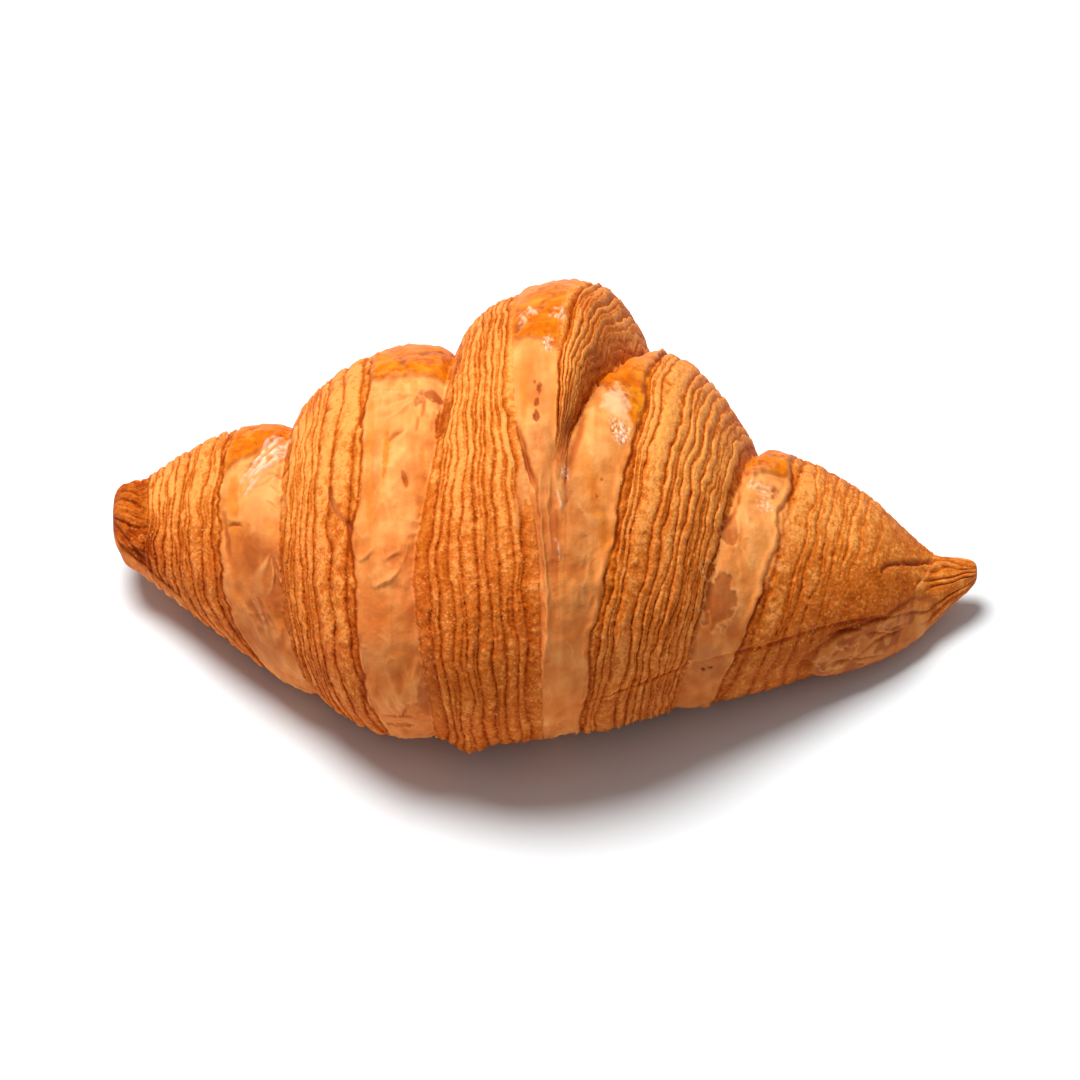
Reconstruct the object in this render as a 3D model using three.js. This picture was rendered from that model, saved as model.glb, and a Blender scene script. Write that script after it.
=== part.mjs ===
// A plain butter croissant: one laminated triangle of dough, rolled up from its wide side and baked.
// Millimetres, +Z up. X runs along the roll, -Y is the front, and the flat underside lies on z = 0.
// Angles go round the roll: 0 is the top, 90 the front, 180 the underside and -90 the back.
import * as THREE from "three";

const LENGTH = 150;
const HALF = LENGTH / 2;
const WIDTH_TO_HEIGHT = 1.3;
const TIP_WIDTH_TO_HEIGHT = 1.1;
const SINK = 0.86; // how high a section's centre lies, as a share of its half height
const BASE_ROUNDING = 2.2;

// The roll without the steps of its turns: place along X, half height, shift along Y, lift off the table.
const CORE = [
  [-75, 6.6, 12.5, 7.5],
  [-70, 7.6, 10.6, 6],
  [-56, 14, 4.6, 3],
  [-43.5, 19.8, -0.4, 0.5],
  [-25, 26.6, -5.6, 0],
  [-15, 28.6, -5.4, 0],
  [2.5, 29.7, -2.6, 0],
  [19, 25.9, -1.8, 0],
  [37, 17.9, -2.4, 0],
  [48, 13.8, -1.4, 0],
  [57, 10.3, -0.8, 0.6],
  [68, 4.7, 2, 3],
  [75, 3.2, 4.6, 4.8],
];

// The lines that cross the roll, each as its place along X at these angles round it.
// A notch is the foot of a turn, and a shoulder is where its smooth skin gives way to its cut, layered edge.
const RING_ANGLES = [-180, -110, -52, -20, 0, 20, 45, 70, 100, 128];
const EDGES = [
  { name: "left_neck", at: [-69, -69.6, -70, -69.8, -69.6, -69.5, -69.8, -70.2, -69.8, -69.2], rise: 0 },
  { name: "left_outer_shoulder", at: [-50, -52, -53.1, -54.1, -54.8, -55.6, -55.1, -54.6, -51.2, -45.6], rise: 3 },
  { name: "left_outer_notch", at: [-40.5, -42.5, -43.4, -44.1, -44.7, -45, -44.9, -44, -41.6, -38.8], rise: 0 },
  { name: "left_inner_shoulder", at: [-26, -27.6, -28.7, -29.6, -30.3, -31.2, -31.7, -30.6, -28.6, -25], rise: 5.3 },
  { name: "left_inner_notch", at: [-17.5, -15.6, -15.3, -16.6, -17.8, -19.7, -21.9, -21, -19.1, -18.5], rise: 0 },
  { name: "left_ridge_top", at: [-4.5, -4.5, -4.5, -5.4, -5.2, -3.4, -1, -0.7, -0.4, -0.3], rise: 6.9 },
  { name: "right_ridge_top", at: [5.5, 8.5, 7.4, 2.6, 1.9, 1.8, 1.8, 1.6, 1.4, 1.2], rise: 8.4 },
  { name: "right_inner_notch", at: [13, 21, 18.9, 11.4, 6.6, 3.6, 3.4, 3.2, 3, 2.8], rise: 0 },
  { name: "right_inner_shoulder", at: [18, 23.6, 20.8, 17.8, 16.2, 13.2, 10.8, 8, 6, 5.2], rise: 3.4 },
  { name: "right_outer_notch", at: [30, 37.5, 36.9, 34.6, 33, 30.9, 28.4, 25.5, 23.2, 22.2], rise: 0 },
  { name: "right_outer_shoulder", at: [36, 43.5, 43.4, 41.8, 40.6, 39.2, 36.9, 33.6, 29.8, 28.2], rise: 3.1 },
  { name: "right_neck", at: [66.5, 67.6, 67.6, 66.8, 66, 65, 64, 63.6, 64.4, 65.6], rise: 0 },
];
// The steps are full over the top and the back, and die away down the front to the underside.
const STEP_FADE = [0.12, 0.9, 1, 0.86, 0.66, 0.52, 0.4, 0.3, 0.2, 0.14];
// Low on the front the middle turn ends beside the next one, so the notch between them is shallow.
const RIGHT_INNER_NOTCH_RISE = [0.2, 0, 0, 0, 0.4, 2.6, 2.5, 1.8, 1, 0.6];

// The stretches between those lines, from tip to tip, with the coarse ridges that a layered edge shows.
const ZONES = [
  { kind: "tip", rings: 5 },
  { kind: "layers", ridges: 8, out: -1, bulge: 0.4 },
  { kind: "skin", rings: 4, out: -1 },
  { kind: "layers", ridges: 9, out: -1, bulge: 0.5 },
  { kind: "skin", rings: 5, out: -1 },
  { kind: "layers", ridges: 10, out: -1, bulge: 0.2 },
  { kind: "skin", rings: 3, out: 0 },
  { kind: "layers", ridges: 6, out: 1, bulge: 0.8 },
  { kind: "skin", rings: 4, out: 1 },
  { kind: "layers", ridges: 11, out: 1, bulge: 1.7 },
  { kind: "skin", rings: 4, out: 1 },
  { kind: "layers", ridges: 11, out: 1, bulge: 1.2 },
  { kind: "tip", rings: 5 },
];
const RIDGE_DEPTH = 0.75;
const RIDGE_UNEVENNESS = 0.55;
const NOTCH_DEPTH = 0.9;
const NOTCH_WIDTH = 1.3;
const MIDDLE_LAYERS = [2, 18]; // the angles over which the middle turn's right edge closes up
const TIP_PLEATS = 9;
const TIP_PLEAT = 0.05;

// The rim of the underside, which shows below a crease low on the right of the front.
const RIM_CREASE = [[3, 99], [17, 91], [36, 80], [51, 71], [62, 69]];
const RIM_DEPTH = 1;
const RIM_WIDTH = 5;
const DRIP = { x: -12.9, angle: 126, size: 2.6, height: 1.7 };

const ANGLE_STEPS = 36;
const CRUST = new THREE.MeshStandardMaterial({ color: 0xcf7a2c, roughness: 0.5, metalness: 0 });

const radians = (degrees) => THREE.MathUtils.degToRad(degrees);
const clamp = THREE.MathUtils.clamp;

// A repeatable draw from 0 to 1 for each whole number.
function draw(n) {
  const value = Math.sin(n * 12.9898 + 4.1414) * 43758.5453;
  return value - Math.floor(value);
}

// A smooth curve through points [x, y], with no overshoot between them.
function curveThrough(points) {
  const slopes = points.slice(1).map(([x, y], i) => (y - points[i][1]) / (x - points[i][0]));
  const tangents = points.map((_, i) => {
    if (i === 0) return slopes[0];
    if (i === points.length - 1) return slopes[i - 1];
    const [before, after] = [slopes[i - 1], slopes[i]];
    return before * after <= 0 ? 0 : (2 * before * after) / (before + after);
  });
  return (x) => {
    let i = 0;
    while (i < points.length - 2 && x > points[i + 1][0]) i += 1;
    const span = points[i + 1][0] - points[i][0];
    const t = clamp((x - points[i][0]) / span, 0, 1);
    const [t2, t3] = [t * t, t * t * t];
    return (
      points[i][1] * (2 * t3 - 3 * t2 + 1) +
      tangents[i] * span * (t3 - 2 * t2 + t) +
      points[i + 1][1] * (3 * t2 - 2 * t3) +
      tangents[i + 1] * span * (t3 - t2)
    );
  };
}

// The same round the roll: values at RING_ANGLES, carried on past the underside.
function curveRound(values) {
  const turns = [-360, 0, 360];
  const points = turns.flatMap((turn) => RING_ANGLES.map((angle, i) => [angle + turn, values[i]]));
  return curveThrough(points);
}

const coreOf = [1, 2, 3].map((column) => curveThrough(CORE.map((row) => [row[0], row[column]])));
const fadeOf = curveRound(STEP_FADE);
const shallowNotch = curveRound(RIGHT_INNER_NOTCH_RISE);
const rimAngle = curveThrough(RIM_CREASE);
const lines = [
  { name: "left_end", at: () => -HALF, rise: () => 0 },
  ...EDGES.map((edge) => ({
    name: edge.name,
    at: curveRound(edge.at),
    rise: edge.name === "right_inner_notch" ? shallowNotch : (angle) => edge.rise * fadeOf(angle),
  })),
  { name: "right_end", at: () => HALF, rise: () => 0 },
];
const notches = lines.filter((line) => /notch|neck/.test(line.name));
const MIDDLE_RIGHT = lines.findIndex((line) => line.name === "right_ridge_top");
const closedAt = (angle) => THREE.MathUtils.smoothstep(angle, ...MIDDLE_LAYERS);

// The uneven ridges of one layered edge: where each begins and ends, from 0 at its shoulder to 1 at its notch.
function ridgeMarks(zone, index) {
  const widths = Array.from({ length: zone.ridges }, (_, i) => 1 + RIDGE_UNEVENNESS * (2 * draw(index * 40 + i) - 1));
  const total = widths.reduce((sum, width) => sum + width, 0);
  const marks = [0];
  widths.forEach((width) => marks.push(marks.at(-1) + width / total));
  return marks;
}
ZONES.forEach((zone, index) => {
  if (zone.kind === "layers") zone.marks = ridgeMarks(zone, index);
});

// Height of the ridges over their grooves at a place in a layered edge.
function ridgeHeight(zone, index, fromShoulder) {
  const i = clamp(zone.marks.findLastIndex((mark) => mark <= fromShoulder), 0, zone.ridges - 1);
  const t = (fromShoulder - zone.marks[i]) / (zone.marks[i + 1] - zone.marks[i]);
  const depth = RIDGE_DEPTH * (0.55 + 0.75 * draw(index * 40 + i + 20));
  return depth * (Math.pow(Math.sin(Math.PI * clamp(t, 0, 1)), 0.7) - 0.6);
}

// How far the surface stands out from the core at a share of the way through a zone.
function reliefAt(zone, index, share, angle) {
  const [left, right] = [lines[index].rise(angle), lines[index + 1].rise(angle)];
  if (zone.kind === "tip") return 0;
  if (zone.out === 0) return left + (right - left) * share + 0.9 * Math.sin(Math.PI * share) * fadeOf(angle);
  const [inner, outer] = zone.out < 0 ? [right, left] : [left, right];
  const along = zone.out < 0 ? 1 - share : share; // 0 at the side nearer the middle of the roll
  if (zone.kind === "skin") return inner + (outer - inner) * Math.sin((Math.PI / 2) * along);
  const fall = Math.pow(1 - Math.pow(along, 2.2), 0.8);
  const open = index === MIDDLE_RIGHT ? 1 - closedAt(angle) : 1;
  const onBack = angle < -52 || angle > 128 ? 0.6 : 1;
  const bulge = zone.bulge * Math.sin(Math.PI * along) * fadeOf(angle);
  return outer + (inner - outer) * fall + bulge + open * onBack * ridgeHeight(zone, index, along);
}

// Where a notch's groove runs: the closed part of the middle turn's right edge has it beside the ridge top.
function grooveAt(line, angle) {
  if (line !== lines[MIDDLE_RIGHT + 1]) return line.at(angle);
  return THREE.MathUtils.lerp(line.at(angle), lines[MIDDLE_RIGHT].at(angle) + 0.5, closedAt(angle));
}

// Grooves along the notches, the rim crease and the drip of dough under the front.
function detailAt(x, angle) {
  let relief = 0;
  notches.forEach((line) => {
    const off = (x - grooveAt(line, angle)) / NOTCH_WIDTH;
    relief -= NOTCH_DEPTH * Math.exp(-off * off) * Math.min(1, 0.35 + fadeOf(angle));
  });
  if (x > RIM_CREASE[0][0] && x < RIM_CREASE.at(-1)[0] && angle > 0) {
    const ends = Math.min(1, (x - RIM_CREASE[0][0]) / 8, (RIM_CREASE.at(-1)[0] - x) / 8);
    const below = (radians(angle - rimAngle(x)) * coreOf[0](x)) / RIM_WIDTH;
    if (below > -0.25) relief -= RIM_DEPTH * ends * Math.exp(-below * below * 1.6);
  }
  const across = (x - DRIP.x) / DRIP.size;
  const round = (angle - DRIP.angle) / 9;
  return relief + DRIP.height * Math.exp(-across * across - round * round);
}

// A point of the surface: a share of the way through a zone, at an angle round the roll.
function surfacePoint(index, share, angle) {
  const zone = ZONES[index];
  const [left, right] = [lines[index].at(angle), lines[index + 1].at(angle)];
  let x = left + (right - left) * share;
  let size = 1;
  if (zone.kind === "tip") {
    const turn = (Math.PI / 2) * (index === 0 ? share : 1 - share);
    const [end, neck] = index === 0 ? [left, right] : [right, left];
    x = end + (neck - end) * (1 - Math.cos(turn));
    size = Math.sin(turn) * (1 + TIP_PLEAT * Math.cos(radians(angle) * TIP_PLEATS));
  }
  const halfHeight = coreOf[0](x);
  const ratio = THREE.MathUtils.lerp(WIDTH_TO_HEIGHT, TIP_WIDTH_TO_HEIGHT, Math.pow(Math.abs(x) / HALF, 2));
  const turned = radians(angle);
  const across = -halfHeight * ratio * Math.sin(turned);
  const up = halfHeight * Math.cos(turned);
  const relief = reliefAt(zone, index, share, angle) + (zone.kind === "tip" ? 0 : detailAt(x, angle));
  const grow = size * (1 + relief / Math.hypot(across, up));
  const z = halfHeight * SINK + coreOf[2](x) + up * grow;
  return new THREE.Vector3(x, coreOf[1](x) + across * grow, onTable(z));
}

// Heights just over the table round off into it, and none goes below it.
function onTable(z) {
  if (z > BASE_ROUNDING) return z;
  return z < -BASE_ROUNDING ? 0 : (z + BASE_ROUNDING) ** 2 / (4 * BASE_ROUNDING);
}

// Where the rings of points lie in each zone: at every groove and crest of the layered edges.
function ringShares(zone) {
  if (zone.kind !== "layers") return Array.from({ length: zone.rings }, (_, i) => i / zone.rings);
  const shares = zone.marks.slice(0, -1).flatMap((mark, i) => [mark, (mark + zone.marks[i + 1]) / 2]);
  if (zone.out > 0) return shares;
  return shares.map((share, i) => (i === 0 ? 0 : 1 - shares[shares.length - i]));
}

function croissantGeometry() {
  const rings = ZONES.flatMap((zone, index) => ringShares(zone).map((share) => [index, share])).slice(1);
  const positions = [];
  rings.forEach(([index, share]) => {
    for (let i = 0; i < ANGLE_STEPS; i += 1) {
      const angle = -180 + ((i + 0.5) * 360) / ANGLE_STEPS;
      positions.push(...surfacePoint(index, share, angle).toArray());
    }
  });
  const [leftPole, rightPole] = [positions.length / 3, positions.length / 3 + 1];
  positions.push(...tipCentre(-HALF), ...tipCentre(HALF));
  const faces = [];
  rings.forEach((_, ring) => {
    for (let i = 0; i < ANGLE_STEPS; i += 1) {
      const next = (i + 1) % ANGLE_STEPS;
      const [a, b] = [ring * ANGLE_STEPS + i, ring * ANGLE_STEPS + next];
      if (ring === 0) faces.push(leftPole, b, a);
      if (ring === rings.length - 1) faces.push(rightPole, a, b);
      else faces.push(a, b + ANGLE_STEPS, a + ANGLE_STEPS, a, b, b + ANGLE_STEPS);
    }
  });
  const geometry = new THREE.BufferGeometry();
  geometry.setAttribute("position", new THREE.Float32BufferAttribute(positions, 3));
  geometry.setIndex(faces);
  geometry.computeVertexNormals();
  return geometry;
}

function tipCentre(x) {
  return [x, coreOf[1](x), coreOf[0](x) * SINK + coreOf[2](x)];
}

const croissant = new THREE.Mesh(croissantGeometry(), CRUST);
croissant.name = "croissant";

const part = new THREE.Group();
part.add(croissant);
export default part;
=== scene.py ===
# The dressed croissant. Its crust is worked out by the formulas of the CAD solid: the roll and its turns,
# the layered edges and the smooth skin between them. It is much finer here, with more ridges on two edges,
# and it has the flakes, creases and glaze that are too small for the solid.
# Lengths are in millimetres until the mesh is made. X runs along the roll and -Y is the front.
# Angles go round the roll, in degrees: 0 is the top, 90 the front, 180 the underside and -90 the back.
import math

import bpy
import numpy as np
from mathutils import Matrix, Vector


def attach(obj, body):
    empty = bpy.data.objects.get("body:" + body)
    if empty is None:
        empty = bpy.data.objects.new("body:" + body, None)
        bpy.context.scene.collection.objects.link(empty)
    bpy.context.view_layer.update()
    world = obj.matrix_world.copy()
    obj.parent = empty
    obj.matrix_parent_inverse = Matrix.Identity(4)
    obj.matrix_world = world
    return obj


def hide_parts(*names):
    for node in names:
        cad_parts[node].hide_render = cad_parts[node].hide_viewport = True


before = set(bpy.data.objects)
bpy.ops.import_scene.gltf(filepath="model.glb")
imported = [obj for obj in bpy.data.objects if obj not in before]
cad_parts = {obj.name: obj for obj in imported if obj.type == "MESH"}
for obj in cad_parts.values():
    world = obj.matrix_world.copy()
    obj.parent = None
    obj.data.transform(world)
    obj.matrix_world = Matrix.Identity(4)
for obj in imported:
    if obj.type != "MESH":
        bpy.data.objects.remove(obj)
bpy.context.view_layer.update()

MM = 0.001

LENGTH = 150
HALF = LENGTH / 2
WIDTH_TO_HEIGHT = 1.3
TIP_WIDTH_TO_HEIGHT = 1.1
SINK = 0.86  # how high a section's centre lies, as a share of its half height
BASE_ROUNDING = 2.2

# The roll without the steps of its turns: place along X, half height, shift along Y, lift off the table.
CORE = np.array([
    [-75, 6.6, 12.5, 7.5],
    [-70, 7.6, 10.6, 6],
    [-56, 14, 4.6, 3],
    [-43.5, 19.8, -0.4, 0.5],
    [-25, 26.6, -5.6, 0],
    [-15, 28.6, -5.4, 0],
    [2.5, 29.7, -2.6, 0],
    [19, 25.9, -1.8, 0],
    [37, 17.9, -2.4, 0],
    [48, 13.8, -1.4, 0],
    [57, 10.3, -0.8, 0.6],
    [68, 4.7, 2, 3],
    [75, 3.2, 4.6, 4.8],
])

# The lines that cross the roll, each as its place along X at these angles round it.
# A notch is the foot of a turn, and a shoulder is where its smooth skin gives way to its cut, layered edge.
RING_ANGLES = np.array([-180, -110, -52, -20, 0, 20, 45, 70, 100, 128])
EDGES = {
    "left_neck": ([-69, -69.6, -70, -69.8, -69.6, -69.5, -69.8, -70.2, -69.8, -69.2], 0),
    "left_outer_shoulder": ([-50, -52, -53.1, -54.1, -54.8, -55.6, -55.1, -54.6, -51.2, -45.6], 3),
    "left_outer_notch": ([-40.5, -42.5, -43.4, -44.1, -44.7, -45, -44.9, -44, -41.6, -38.8], 0),
    "left_inner_shoulder": ([-26, -27.6, -28.7, -29.6, -30.3, -31.2, -31.7, -30.6, -28.6, -25], 5.3),
    "left_inner_notch": ([-17.5, -15.6, -15.3, -16.6, -17.8, -19.7, -21.9, -21, -19.1, -18.5], 0),
    "left_ridge_top": ([-4.5, -4.5, -4.5, -5.4, -5.2, -3.4, -1, -0.7, -0.4, -0.3], 6.9),
    "right_ridge_top": ([5.5, 8.5, 7.4, 2.6, 1.9, 1.8, 1.8, 1.6, 1.4, 1.2], 8.4),
    "right_inner_notch": ([13, 21, 18.9, 11.4, 6.6, 3.6, 3.4, 3.2, 3, 2.8], 0),
    "right_inner_shoulder": ([18, 23.6, 20.8, 17.8, 16.2, 13.2, 10.8, 8, 6, 5.2], 3.4),
    "right_outer_notch": ([30, 37.5, 36.9, 34.6, 33, 30.9, 28.4, 25.5, 23.2, 22.2], 0),
    "right_outer_shoulder": ([36, 43.5, 43.4, 41.8, 40.6, 39.2, 36.9, 33.6, 29.8, 28.2], 3.1),
    "right_neck": ([66.5, 67.6, 67.6, 66.8, 66, 65, 64, 63.6, 64.4, 65.6], 0),
}
# The steps are full over the top and the back, and die away down the front to the underside.
STEP_FADE = [0.12, 0.9, 1, 0.86, 0.66, 0.52, 0.4, 0.3, 0.2, 0.14]
# Low on the front the middle turn ends beside the next one, so the notch between them is shallow.
RIGHT_INNER_NOTCH_RISE = [0.2, 0, 0, 0, 0.4, 2.6, 2.5, 1.8, 1, 0.6]

# The stretches between those lines, from tip to tip: rings of points, the side that falls away, the bulge,
# and for a layered edge the widths of its ridges beside each other, from its shoulder to its notch.
# The middle turn's right edge has deeper ridges with wider dark valleys, their darkness partly painted
# shade.
ZONES = [
    {"kind": "tip", "rings": 30},
    {"kind": "layers", "rings": 110, "out": -1, "bulge": 0.4,
     "ridges": [9, 11, 14, 11, 9, 8, 8, 7, 6, 7]},
    {"kind": "skin", "rings": 44, "out": -1},
    {"kind": "layers", "rings": 104, "out": -1, "bulge": 0.5,
     "ridges": [9, 20, 15, 7, 6, 6, 6, 7, 5]},
    {"kind": "skin", "rings": 56, "out": -1},
    {"kind": "layers", "rings": 112, "out": -1, "bulge": 0.2,
     "ridges": [13, 7, 10, 9, 11, 10, 10, 8, 7, 13]},
    {"kind": "skin", "rings": 34, "out": 0},
    {"kind": "layers", "rings": 70, "out": 1, "bulge": 0.8, "depth": 2.2, "valley": 1.3,
     "ridges": [13, 8, 10, 9, 8, 8, 6, 6, 5, 4, 4]},
    {"kind": "skin", "rings": 40, "out": 1},
    {"kind": "layers", "rings": 118, "out": 1, "bulge": 1.7,
     "ridges": [7, 5, 5, 18, 8, 7, 7, 7, 6, 6, 6, 5, 5]},
    {"kind": "skin", "rings": 36, "out": 1},
    {"kind": "layers", "rings": 124, "out": 1, "bulge": 1.2,
     "ridges": [7, 17, 10, 11, 10, 8, 12, 14, 14, 18, 15]},
    {"kind": "tip", "rings": 34},
]
RIDGE_DEPTH = 0.75
NOTCH_DEPTH = 0.9
NOTCH_WIDTH = 1.3
NOTCH_WANDER = 0.45
MIDDLE_LAYERS = (8, 26)  # the angles over which the middle turn's right edge closes up
ROLL_RADIUS = 27  # about half the width of the roll, for noise round it with a size in millimetres
RIDGE_ROUND = 2.6  # how fast the ridges change round the roll: the radius of their circle of noise
EDGE_WANDER = 0.42  # how far a ridge's edge strays, as a share of the narrower ridge beside it
SPLIT_RIDGE = 1.9  # a ridge wider than this, in millimetres, can have three splits instead of one
SPLIT_DEPTH = 0.32
SPLIT_WIDTH = 0.2
BROAD_RIDGE = (1.7, 2.6)  # the widths over which ridges turn from split to crinkled
CRINKLE = 0.16

# The rim of the underside, which shows below a crease low on the right of the front.
RIM_CREASE = np.array([[3, 99], [17, 91], [36, 80], [51, 71], [62, 69]])
RIM_DEPTH = 0.8
RIM_WIDTH = 5
DRIP = {"x": -12.9, "angle": 126, "size": 2.6, "height": 1.7}

# Columns of points round the roll: how close together they lie, as a share of the closest, at these angles.
COLUMNS = 548
COLUMN_SPACING = [(-180, 0.35), (-110, 0.55), (-65, 1), (125, 1), (150, 0.5), (180, 0.35)]


def smoothstep(low, high, value):
    t = np.clip((value - low) / (high - low), 0, 1)
    return t * t * (3 - 2 * t)


def bell(value):
    return np.exp(-value * value)


def draw(*numbers):
    """A repeatable draw from 0 to 1 for each set of whole numbers."""
    mixed = np.uint32(2166136261)
    with np.errstate(over="ignore"):
        for n in numbers:
            mixed = (mixed ^ np.asarray(n).astype(np.int64).astype(np.uint32)) * np.uint32(16777619)
            mixed = (mixed ^ (mixed >> np.uint32(15))) * np.uint32(2246822519)
        mixed = (mixed ^ (mixed >> np.uint32(13))) * np.uint32(3266489917)
    return (mixed ^ (mixed >> np.uint32(16))) / np.float64(2**32)


def noise(point, seed=0):
    """Smooth noise from -1 to 1 at points (x, y, z), about one bump to a unit."""
    cell = [np.floor(v) for v in point]
    part = [v - c for v, c in zip(point, cell)]
    ease = [p * p * p * (p * (p * 6 - 15) + 10) for p in part]
    total = 0
    for corner in range(8):
        step = [corner & 1, corner >> 1 & 1, corner >> 2]
        weight = 1
        for s, e in zip(step, ease):
            weight = weight * (e if s else 1 - e)
        at = [c + s for c, s in zip(cell, step)]
        slope = [2 * draw(*at, seed * 3 + k) - 1 for k in range(3)]
        away = [p - s for p, s in zip(part, step)]
        total = total + weight * sum(g * a for g, a in zip(slope, away))
    return np.clip(total * 1.5, -1, 1)


def layered_noise(point, size, seed=0, octaves=3):
    """Noise of that size in millimetres, with finer noise on it."""
    total, share = 0, 1
    for octave in range(octaves):
        scale = 2**octave / size
        total = total + share * noise([v * scale for v in point], seed + octave)
        share *= 0.5
    return total


def cell_bumps(point, size, seed=0):
    """Round bumps from 0 to 1, one in each cell of that size, and a draw for each bump."""
    scaled = [np.asarray(v) / size for v in point]
    cell = [np.floor(v) for v in scaled]
    nearest, owner = np.full(np.shape(scaled[0]), 9.0), np.zeros(np.shape(scaled[0]))
    for corner in range(27):
        at = [c + corner // 3**k % 3 - 1 for k, c in enumerate(cell)]
        away = sum((v - a - draw(*at, seed + k)) ** 2 for k, (v, a) in enumerate(zip(scaled, at)))
        closer = away < nearest
        nearest = np.where(closer, away, nearest)
        owner = np.where(closer, draw(*at, seed + 5), owner)
    return np.clip(1 - nearest / 0.3, 0, 1), owner


def curve_through(xs, ys):
    """A smooth curve through points, with no overshoot between them."""
    xs, ys = np.asarray(xs, float), np.asarray(ys, float)
    slopes = np.diff(ys) / np.diff(xs)
    tangents = np.zeros(len(xs))
    tangents[0], tangents[-1] = slopes[0], slopes[-1]
    before, after = slopes[:-1], slopes[1:]
    same = before * after > 0
    tangents[1:-1][same] = 2 * before[same] * after[same] / (before[same] + after[same])

    def at(x):
        i = np.searchsorted(xs[1:-1], x, side="left")
        span = xs[i + 1] - xs[i]
        t = np.clip((x - xs[i]) / span, 0, 1)
        start = ys[i] * (2 * t**3 - 3 * t**2 + 1) + tangents[i] * span * (t**3 - 2 * t**2 + t)
        return start + ys[i + 1] * (3 * t**2 - 2 * t**3) + tangents[i + 1] * span * (t**3 - t**2)

    return at


def curve_round(values):
    """The same round the roll: values at RING_ANGLES, carried on past the underside."""
    angles = np.concatenate([RING_ANGLES + turn for turn in (-360, 0, 360)])
    return curve_through(angles, list(values) * 3)


half_height = curve_through(CORE[:, 0], CORE[:, 1])
side_shift = curve_through(CORE[:, 0], CORE[:, 2])
lift = curve_through(CORE[:, 0], CORE[:, 3])
fade = curve_round(STEP_FADE)
rim_angle = curve_through(RIM_CREASE[:, 0], RIM_CREASE[:, 1])


def column_angles():
    """The angles of the columns of points, from -180 up to but not including 180."""
    even = np.linspace(-180, 180, 3601)
    density = np.interp(even, *zip(*COLUMN_SPACING))
    reached = np.concatenate([[0], np.cumsum((density[1:] + density[:-1]) / 2)])
    return np.interp(np.arange(COLUMNS) / COLUMNS * reached[-1], reached, even)


ANGLE = column_angles()
TURN = np.radians(ANGLE)
FADE = fade(ANGLE)
CLOSED = smoothstep(*MIDDLE_LAYERS, ANGLE)
LINE = {"left_end": np.full(COLUMNS, -HALF), "right_end": np.full(COLUMNS, HALF)}
RISE = {"left_end": 0, "right_end": 0}
for name, (places, rise) in EDGES.items():
    LINE[name] = curve_round(places)(ANGLE)
    RISE[name] = rise * FADE
RISE["right_inner_notch"] = curve_round(RIGHT_INNER_NOTCH_RISE)(ANGLE)
ORDER = ["left_end", *EDGES, "right_end"]
MIDDLE_RIGHT = ORDER.index("right_ridge_top")  # the zone that starts there


def place(x, angle, relief, size=1):
    """The point of the surface that stands relief out from the core."""
    ratio = WIDTH_TO_HEIGHT + (TIP_WIDTH_TO_HEIGHT - WIDTH_TO_HEIGHT) * (x / HALF) ** 2
    turn, half = np.radians(angle), half_height(x)
    across, up = -half * ratio * np.sin(turn), half * np.cos(turn)
    grow = size * (1 + relief / np.hypot(across, up))
    height = half * SINK + lift(x) + up * grow
    rounded = (np.maximum(height, -BASE_ROUNDING) + BASE_ROUNDING) ** 2 / (4 * BASE_ROUNDING)
    return x, side_shift(x) + across * grow, np.where(height > BASE_ROUNDING, height, rounded)


def ring_rows():
    """For every ring of points: its zone, its share of the way through it, and its place along X."""
    zones, shares, rows = [], [], []
    for index, zone in enumerate(ZONES):
        left, right = LINE[ORDER[index]], LINE[ORDER[index + 1]]
        for step in range(1 if index == 0 else 0, zone["rings"]):
            share = step / zone["rings"]
            if zone["kind"] == "tip":
                turn = math.pi / 2 * (share if index == 0 else 1 - share)
                end, neck = (left, right) if index == 0 else (right, left)
                rows.append(end + (neck - end) * (1 - math.cos(turn)))
            else:
                rows.append(left + (right - left) * share)
            zones.append(index)
            shares.append(share)
    return np.array(zones), np.array(shares)[:, None], np.array(rows)


ZONE, SHARE, X = ring_rows()
A = np.broadcast_to(ANGLE, X.shape)
POINT = place(X, A, 0)  # on the core, in millimetres, for the noises


def crust_noise(size, seed):
    """Noise of that size in millimetres over the whole crust. Three sizes stretch it along X, Y and Z."""
    sizes = size if isinstance(size, tuple) else (size, size, size)
    return noise([v / s for v, s in zip(POINT, sizes)], seed)


def noise_round(radius, strip, seed):
    """Noise that changes with the angle only, faster for a larger radius, on one of many strips of it."""
    return noise([np.cos(TURN) * radius, np.sin(TURN) * radius, np.full(COLUMNS, strip)], seed)


def rows_of(index):
    """The rows of points in a zone, as a slice."""
    inside = np.flatnonzero(ZONE == index)
    return slice(inside[0], inside[-1] + 1)


def ridge_splits(index, i, share, width, millimetres):
    """How deep a ridge is split lengthwise, from 0 to 1, at each share of the way over it."""
    split = 0
    for j in range(3 if width > SPLIT_RIDGE else 1):
        centre = 0.3 + 0.4 * draw(index, i, j, 3)
        centre = centre + 0.16 * noise_round(RIDGE_ROUND, 5.3 * i + 1.7 * j, 30 + index)
        strength = noise_round(1.3 * RIDGE_ROUND, 2.9 * i + 4.1 * j, 50 + index)
        strength = np.clip(0.35 + 1.6 * strength, 0, 1)
        split = np.maximum(split, strength * bell((share - centre) * millimetres / SPLIT_WIDTH))
    return split


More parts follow.
